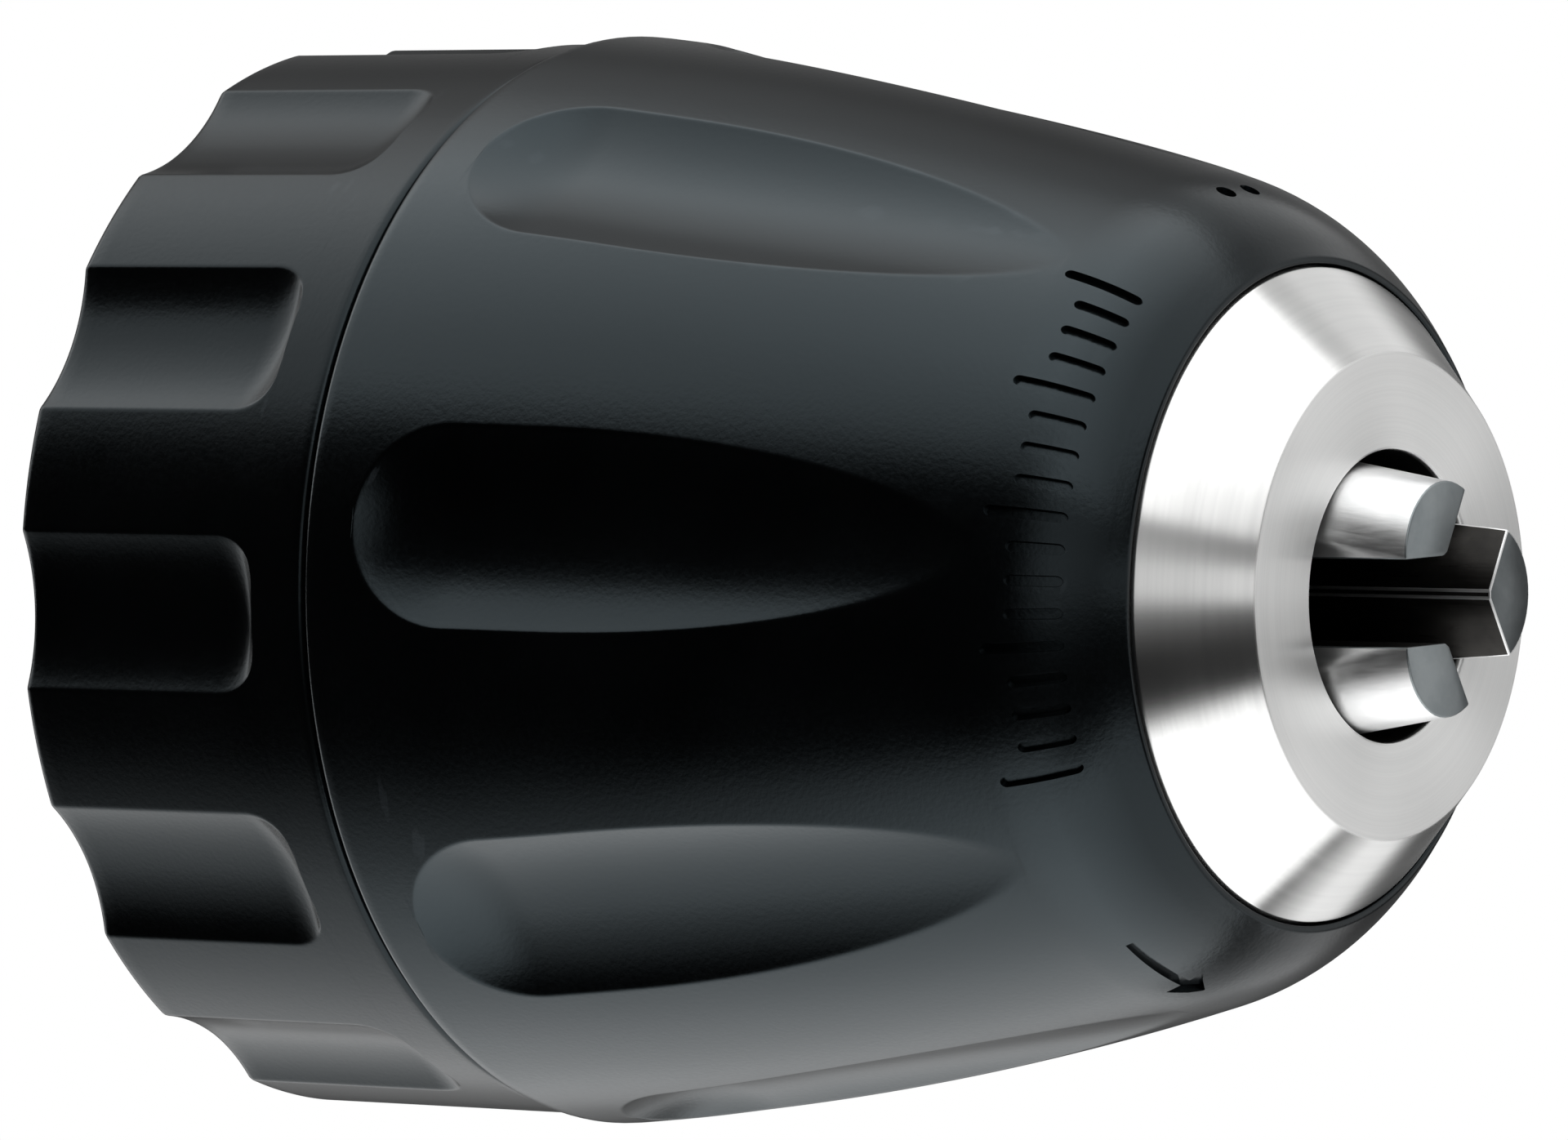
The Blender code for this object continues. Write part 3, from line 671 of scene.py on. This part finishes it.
# ================================ materials ==============================================
def math_node(tree, operation, one, two=None):
    """Math node whose inputs are numbers or other nodes' outputs."""
    node = tree.nodes.new("ShaderNodeMath")
    node.operation = operation
    for slot, item in zip(node.inputs, (one, two)):
        if item is None:
            continue
        if isinstance(item, (int, float)):
            slot.default_value = item
        else:
            tree.links.new(item, slot)
    return node.outputs["Value"]


class Nodes:
    """Short-hand for building a node tree."""

    def __init__(self, name):
        self.material = bpy.data.materials.new(name)
        self.material.use_nodes = True
        self.tree = self.material.node_tree
        self.shader = self.tree.nodes["Principled BSDF"]

    def add(self, kind, **settings):
        node = self.tree.nodes.new(kind)
        for key, value in settings.items():
            setattr(node, key, value)
        return node

    def link(self, source, target):
        self.tree.links.new(source, target)

    def noise(self, vector, scale, detail=3.0, roughness=0.6):
        node = self.add("ShaderNodeTexNoise")
        node.inputs["Scale"].default_value = scale
        node.inputs["Detail"].default_value = detail
        node.inputs["Roughness"].default_value = roughness
        self.link(vector, node.inputs["Vector"])
        return node.outputs["Fac"]

    def remap(self, source, low, high, to_low, to_high):
        node = self.add("ShaderNodeMapRange")
        node.inputs["From Min"].default_value = low
        node.inputs["From Max"].default_value = high
        node.inputs["To Min"].default_value = to_low
        node.inputs["To Max"].default_value = to_high
        self.link(source, node.inputs["Value"])
        return node.outputs["Result"]

    def math(self, operation, one, two=None):
        return math_node(self.tree, operation, one, two)

    def mix(self, factor, one, two):
        node = self.add("ShaderNodeMix", data_type='RGBA')
        self.link(factor, node.inputs["Factor"])
        colour_inputs = [s for s in node.inputs if s.type == 'RGBA']
        for slot, item in zip(colour_inputs, (one, two)):
            if isinstance(item, tuple):
                slot.default_value = item
            else:
                self.link(item, slot)
        return [s for s in node.outputs if s.type == 'RGBA'][0]

    def bump(self, height, strength, distance):
        node = self.add("ShaderNodeBump")
        node.inputs["Strength"].default_value = strength
        node.inputs["Distance"].default_value = distance
        self.link(height, node.inputs["Height"])
        return node.outputs["Normal"]


def black_plastic(name, sheen):
    """Fine-grained black plastic with faint handling marks and paler worn edges; its reflection is
    turned down near the lip as painted shade.
    """
    n = Nodes(name)
    place = n.add("ShaderNodeTexCoord").outputs["Object"]
    grain = n.noise(place, 5200.0, 2.0, 0.5)
    cloud = n.noise(place, 120.0, 4.0, 0.6)
    rubbed = n.noise(place, 420.0, 3.0, 0.6)
    edge = n.remap(n.add("ShaderNodeNewGeometry").outputs["Pointiness"], 0.54, 0.59, 0.0, 1.0)
    worn = n.math('MULTIPLY', edge, n.remap(rubbed, 0.35, 0.7, 0.15, 1.0))
    base = n.mix(n.remap(cloud, 0.3, 0.7, 0.0, 1.0),
                 (0.0008, 0.0009, 0.0010, 1), (0.0016, 0.0018, 0.0020, 1))
    n.link(n.mix(worn, base, (0.014, 0.016, 0.018, 1)), n.shader.inputs["Base Color"])
    spread = n.math('ADD', n.remap(cloud, 0.3, 0.7, 0.18, 0.22), n.remap(grain, 0.3, 0.7, -0.02, 0.02))
    n.link(spread, n.shader.inputs["Roughness"])
    height = n.add("ShaderNodeSeparateXYZ")
    n.link(place, height.inputs["Vector"])
    # painted shade: the reflection level drops toward the lip
    lip_shaded_shine = n.remap(height.outputs["Z"], (LIP_Z - 3.0) * MM, (LIP_Z - 0.8) * MM, sheen, sheen * 0.52)
    n.link(lip_shaded_shine, n.shader.inputs["Specular IOR Level"])
    n.shader.inputs["Specular Tint"].default_value = (0.73, 0.91, 1.0, 1.0)
    n.link(n.bump(grain, 0.16, 0.00003), n.shader.inputs["Normal"])
    return n.material


def distance_from_axis(n, x, y):
    """Distance of the shaded point from the spindle axis."""
    return n.math('SQRT', n.math('ADD', n.math('MULTIPLY', x, x), n.math('MULTIPLY', y, y)))


def ring_marks(n, scale):
    """Noise that hardly changes along each turning mark, so it draws fine rings."""
    place = n.add("ShaderNodeTexCoord").outputs["Object"]
    parts = n.add("ShaderNodeSeparateXYZ")
    n.link(place, parts.inputs["Vector"])
    x, y, z = parts.outputs
    along = n.math('ADD', distance_from_axis(n, x, y), n.math('MULTIPLY', z, 1.37))
    joined = n.add("ShaderNodeCombineXYZ")
    n.link(along, joined.inputs["X"])
    around = n.math('ARCTAN2', y, x)
    drift = 0.02 * MM
    n.link(n.math('MULTIPLY', n.math('SINE', around), drift), joined.inputs["Y"])
    n.link(n.math('MULTIPLY', n.math('COSINE', around), drift), joined.inputs["Z"])
    return n.noise(joined.outputs["Vector"], scale, 4.0, 0.7), place


def turned_steel():
    """Bright steel off the lathe: fine rings stretch its highlights, and the throat wall below the rim
    is painted dark as shade.
    """
    n = Nodes("turned_steel")
    rings, place = ring_marks(n, 9000.0)
    coarse, _ = ring_marks(n, 2600.0)
    stain = n.noise(place, 260.0, 3.0, 0.6)
    bright = n.mix(n.remap(rings, 0.3, 0.7, 0.0, 1.0), (0.78, 0.78, 0.775, 1), (0.84, 0.84, 0.83, 1))
    bright = n.mix(n.remap(stain, 0.45, 0.8, 0.0, 0.2), bright, (0.72, 0.73, 0.72, 1))
    parts = n.add("ShaderNodeSeparateXYZ")
    n.link(place, parts.inputs["Vector"])
    x, y, z = parts.outputs
    radius = distance_from_axis(n, x, y)
    # painted shade: the throat wall below the rim is darkened almost to black
    in_throat = n.remap(radius, (THROAT_RADIUS + 0.2) * MM, (THROAT_RADIUS + 0.02) * MM, 0.0, 1.0)
    below_rim = n.remap(z, (FACE_Z - 0.12) * MM, (FACE_Z - 0.3) * MM, 0.0, 1.0)
    painted_throat_shade = n.math('MULTIPLY', in_throat, below_rim)
    n.link(n.mix(painted_throat_shade, bright, (0.035, 0.033, 0.03, 1)), n.shader.inputs["Base Color"])
    n.shader.inputs["Metallic"].default_value = 1.0
    on_face = n.remap(z, (FACE_Z - 0.06) * MM, (FACE_Z - 0.02) * MM, 0.0, 0.13)
    spread = n.math('ADD', n.remap(coarse, 0.25, 0.75, 0.19, 0.26), on_face)
    n.link(spread, n.shader.inputs["Roughness"])
    n.shader.inputs["Anisotropic"].default_value = 0.92
    n.shader.inputs["Anisotropic Rotation"].default_value = 0.25
    tangent = n.add("ShaderNodeTangent", direction_type='RADIAL', axis='Z')
    n.link(tangent.outputs["Tangent"], n.shader.inputs["Tangent"])
    n.link(n.bump(rings, 0.12, 0.00001), n.shader.inputs["Normal"])
    return n.material


def ground_steel(name, light, dark, roughness):
    """Metal with short grinding scratches. Its colour wanders between light and dark."""
    n = Nodes(name)
    place = n.add("ShaderNodeTexCoord").outputs["Object"]
    stretch = n.add("ShaderNodeMapping")
    stretch.inputs["Scale"].default_value = (1.0, 1.0, 0.08)
    n.link(place, stretch.inputs["Vector"])
    scratches = n.noise(stretch.outputs["Vector"], 7000.0, 4.0, 0.7)
    cloud = n.noise(place, 500.0, 3.0, 0.6)
    base = n.mix(n.remap(cloud, 0.35, 0.7, 0.0, 1.0), light, dark)
    n.link(base, n.shader.inputs["Base Color"])
    n.shader.inputs["Metallic"].default_value = 1.0
    spread = n.remap(scratches, 0.25, 0.75, roughness - 0.05, roughness + 0.07)
    n.link(spread, n.shader.inputs["Roughness"])
    n.link(n.bump(scratches, 0.3, 0.000012), n.shader.inputs["Normal"])
    return n.material


def dress(piece, material):
    """Give a piece one material over all its faces."""
    piece.data.materials.clear()
    piece.data.materials.append(material)


def dress_node(node, material):
    """Give a CAD node a better material."""
    for slot in frame["nodes"][node].material_slots:
        slot.material = material


# ================================ stage ==================================================
def emission(name, strength):
    """Material that only glows, in white."""
    material = bpy.data.materials.new(name)
    material.use_nodes = True
    tree = material.node_tree
    tree.nodes.clear()
    glow = tree.nodes.new("ShaderNodeEmission")
    glow.inputs["Color"].default_value = (1.0, 1.0, 1.0, 1.0)
    glow.inputs["Strength"].default_value = strength
    out = tree.nodes.new("ShaderNodeOutputMaterial")
    tree.links.new(glow.outputs["Emission"], out.inputs["Surface"])
    return material


# Brightness round the studio below, at and above the horizon, as (degrees from the camera's side,
# level) stops. Positive angles are the side that is up in the camera's view.
LOW_LIGHT = [(-180, 0.1), (-165, 0.12), (-157, 0.3), (-148, 0.52), (-140, 1.28), (-132, 1.79),
             (-110, 1.98), (-94, 1.65), (-80, 1.42), (-70, 1.25), (-60, 0.68), (-42, 0.05), (-36, 0.0),
             (28, 0.0), (32, 0.35), (36, 1.1), (40, 1.3), (50, 1.35), (60, 1.65), (70, 1.9), (76, 2.2),
             (90, 2.6), (104, 1.5), (120, 0.55), (140, 0.18), (165, 0.25), (180, 0.15)]
LEVEL_LIGHT = [(-180, 0.12), (-165, 0.1), (-160, 0.1), (-156, 0.5), (-152, 1.2), (-142, 1.25),
               (-137, 0.8), (-133, 0.5), (-130, 0.15), (-126.5, 0.12), (-124.5, 2.1), (-110, 2.2),
               (-80, 2.1), (-60, 1.7), (-46, 0.9), (-40, 0.0), (27, 0.0), (33, 0.6), (45, 1.4),
               (60, 2.1), (90, 2.5), (118, 2.3), (120.5, 0.75), (128, 0.7), (133, 0.95), (144, 1.0),
               (150, 1.1), (155, 0.9), (160, 0.45), (165, 0.2), (180, 0.12)]
HIGH_LIGHT = [(-180, 1.18), (-140, 1.05), (-120, 1.15), (-105, 1.9), (-60, 2.1), (-55, 2.1),
              (-53, 0.6), (-50, 0.02), (-27, 0.02), (-19, 0.08), (-10, 0.25), (0, 0.8), (10, 0.8),
              (26, 0.5), (28.5, 0.8), (31, 2.0), (60, 2.1), (105, 1.9), (120, 1.15), (140, 1.05),
              (180, 1.18)]
FULL_LEVEL = 3.0


class WorldNodes:
    """Short-hand for the studio's node tree."""

    def __init__(self, tree):
        self.tree = tree
        tree.nodes.clear()

    def math(self, operation, one, two=None):
        return math_node(self.tree, operation, one, two)

    def step(self, source, low, high, to_low=0.0, to_high=1.0):
        """Smooth step between two values."""
        node = self.tree.nodes.new("ShaderNodeMapRange")
        node.interpolation_type = 'SMOOTHSTEP'
        node.inputs["From Min"].default_value = low
        node.inputs["From Max"].default_value = high
        node.inputs["To Min"].default_value = to_low
        node.inputs["To Max"].default_value = to_high
        self.tree.links.new(source, node.inputs["Value"])
        return node.outputs["Result"]

    def ramp(self, source, stops):
        """Brightness curve through (degrees, level) stops."""
        node = self.tree.nodes.new("ShaderNodeValToRGB")
        node.color_ramp.interpolation = 'LINEAR'
        elements = node.color_ramp.elements
        elements.remove(elements[-1])
        for i, (degrees, level) in enumerate(stops):
            place = degrees / 360 + 0.5
            element = elements[0] if i == 0 else elements.new(place)
            element.position = place
            element.color = (level / FULL_LEVEL,) * 3 + (1.0,)
        self.tree.links.new(source, node.inputs["Fac"])
        return node.outputs["Color"]

    def blend(self, share, one, two):
        """one where share is 0, two where it is 1."""
        return self.math('ADD', self.math('MULTIPLY', one, self.math('SUBTRACT', 1.0, share)),
                         self.math('MULTIPLY', two, share))


def world_light():
    """Studio: a soft box on each side, a dim wall behind and a strip overhead.

    The camera itself sees a plain pale grey backdrop instead.
    """
    world = bpy.data.worlds.new("studio")
    bpy.context.scene.world = world
    world.use_nodes = True
    tree = world.node_tree
    w = WorldNodes(tree)
    parts = tree.nodes.new("ShaderNodeSeparateXYZ")
    tree.links.new(tree.nodes.new("ShaderNodeTexCoord").outputs["Generated"], parts.inputs["Vector"])
    x, y, z = parts.outputs
    turn = w.math('ARCTAN2', w.math('MULTIPLY', x, -1.0), w.math('MULTIPLY', y, -1.0))
    share = w.math('ADD', w.math('DIVIDE', turn, math.tau), 0.5)
    low, level, high = (w.ramp(share, stops) for stops in (LOW_LIGHT, LEVEL_LIGHT, HIGH_LIGHT))
    behind = w.math('MULTIPLY', w.step(y, 0.55, 0.7), w.step(z, -0.32, -0.2))
    around = w.blend(w.math('MAXIMUM', w.step(z, -0.35, 0.05), behind), low, level)
    around = w.blend(w.step(z, 0.3, 0.6), around, high)
    sideways = w.math('ABSOLUTE', w.math('ADD', x, 0.04))
    overhead = w.step(sideways, 0.05, 0.13, 1.2 / FULL_LEVEL, 0.06 / FULL_LEVEL)
    around = w.blend(w.step(z, 0.78, 0.9), around, overhead)
    light = tree.nodes.new("ShaderNodeBackground")
    tree.links.new(w.math('MULTIPLY', around, FULL_LEVEL), light.inputs["Strength"])
    backdrop = tree.nodes.new("ShaderNodeBackground")
    backdrop.inputs["Strength"].default_value = 1.0
    seen = tree.nodes.new("ShaderNodeLightPath").outputs["Is Camera Ray"]
    mix = tree.nodes.new("ShaderNodeMixShader")
    out = tree.nodes.new("ShaderNodeOutputWorld")
    tree.links.new(seen, mix.inputs[0])
    tree.links.new(light.outputs["Background"], mix.inputs[1])
    tree.links.new(backdrop.outputs["Background"], mix.inputs[2])
    tree.links.new(mix.outputs["Shader"], out.inputs["Surface"])


def floor():
    """Plain pale floor that the chuck stands on. It doesn't hide the lights below its level."""
    bm = bmesh.new()
    bmesh.ops.create_grid(bm, x_segments=2, y_segments=2, size=6000.0)
    ground = bmesh_object("studio_floor", bm)
    ground.location.z = -0.05 * MM
    dress(ground, emission("pale_floor", 1.0))
    ground.visible_glossy = False
    ground.visible_diffuse = False
    ground.visible_shadow = False


def camera():
    """Long lens at the angle of the reference view, rolled so the nose points right."""
    along = Vector((0.0, 0.0, 1.0))
    back = along * math.cos(VIEW_ANGLE) + TOWARD_CAMERA * math.sin(VIEW_ANGLE)
    right = (along - back * back.dot(along)).normalized()
    up = back.cross(right)
    rolled_right = right * math.cos(VIEW_ROLL) + up * math.sin(VIEW_ROLL)
    rolled_up = up * math.cos(VIEW_ROLL) - right * math.sin(VIEW_ROLL)
    offset = CAMERA_OFFSET[0] * rolled_right + CAMERA_OFFSET[1] * rolled_up + CAMERA_OFFSET[2] * back
    place = (Vector((0.0, 0.0, FACE_Z)) + offset) * MM
    data = bpy.data.cameras.new("camera")
    data.lens = LENS
    data.sensor_width = 36.0
    data.clip_start = 0.01
    data.clip_end = 10.0
    thing = bpy.data.objects.new("camera", data)
    bpy.context.scene.collection.objects.link(thing)
    rotation = Matrix((rolled_right, rolled_up, back)).transposed()
    thing.matrix_world = Matrix.Translation(place) @ rotation.to_4x4()
    bpy.context.scene.camera = thing


# ================================ assembly ===============================================
sleeve_plastic = black_plastic("black_sleeve_plastic", 0.54)
ring_plastic = black_plastic("black_ring_plastic", 0.32)
steel = turned_steel()
jaw_steel = ground_steel("ground_jaw_steel", (0.88, 0.88, 0.88, 1), (0.8, 0.81, 0.81, 1), 0.35)
# jaw tips painted dark as shade, jaw 1's darker still; the wedge flanks painted near black as shadow
deep_shaded_tip_steel = ground_steel("jaw_tip_deep_painted_shade", (0.15, 0.163, 0.168, 1), (0.11, 0.122, 0.126, 1), 0.36)
tip_steel = ground_steel("jaw_tip_painted_shade", (0.29, 0.315, 0.323, 1), (0.22, 0.245, 0.255, 1), 0.36)
shadowed_flank_steel = ground_steel("jaw_flank_painted_shadow", (0.05, 0.048, 0.045, 1), (0.03, 0.029, 0.028, 1), 0.3)
nut_steel = ground_steel("nut_steel", (0.42, 0.41, 0.39, 1), (0.3, 0.29, 0.28, 1), 0.35)
race_steel = ground_steel("race_steel", (0.62, 0.62, 0.63, 1), (0.52, 0.52, 0.53, 1), 0.16)
spring_steel = ground_steel("spring_steel", (0.2, 0.2, 0.21, 1), (0.12, 0.12, 0.13, 1), 0.32)
brass = ground_steel("stamped_brass", (0.6, 0.44, 0.2, 1), (0.42, 0.3, 0.14, 1), 0.3)

sleeve = front_sleeve()
dress(sleeve, sleeve_plastic)
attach(sleeve, "sleeve")
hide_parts("front_sleeve")

ring = rear_sleeve()
dress(ring, ring_plastic)
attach(ring, "body")
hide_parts("rear_sleeve")

core = chuck_body()
dress(core, steel)
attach(core, "body")
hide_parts("chuck_body")

for index, jaw_azimuth in enumerate(JAW_AZIMUTHS):
    piece = jaw(index + 1, jaw_azimuth)
    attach(piece, f"jaw_{index + 1}")
    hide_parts(f"jaw_{index + 1}")

finishes = {"race_washer_rear": race_steel, "race_washer_front": race_steel, "ball_cage": brass,
            "nut_half_a": nut_steel, "nut_half_b": nut_steel, "nut_band": spring_steel,
            "sleeve_snap_ring": spring_steel}
for node in frame["nodes"]:
    if node.startswith("bearing_ball"):
        finishes[node] = race_steel
for node, material in finishes.items():
    dress_node(node, material)

world_light()
floor()
camera()
bpy.context.scene.view_settings.view_transform = 'Standard'
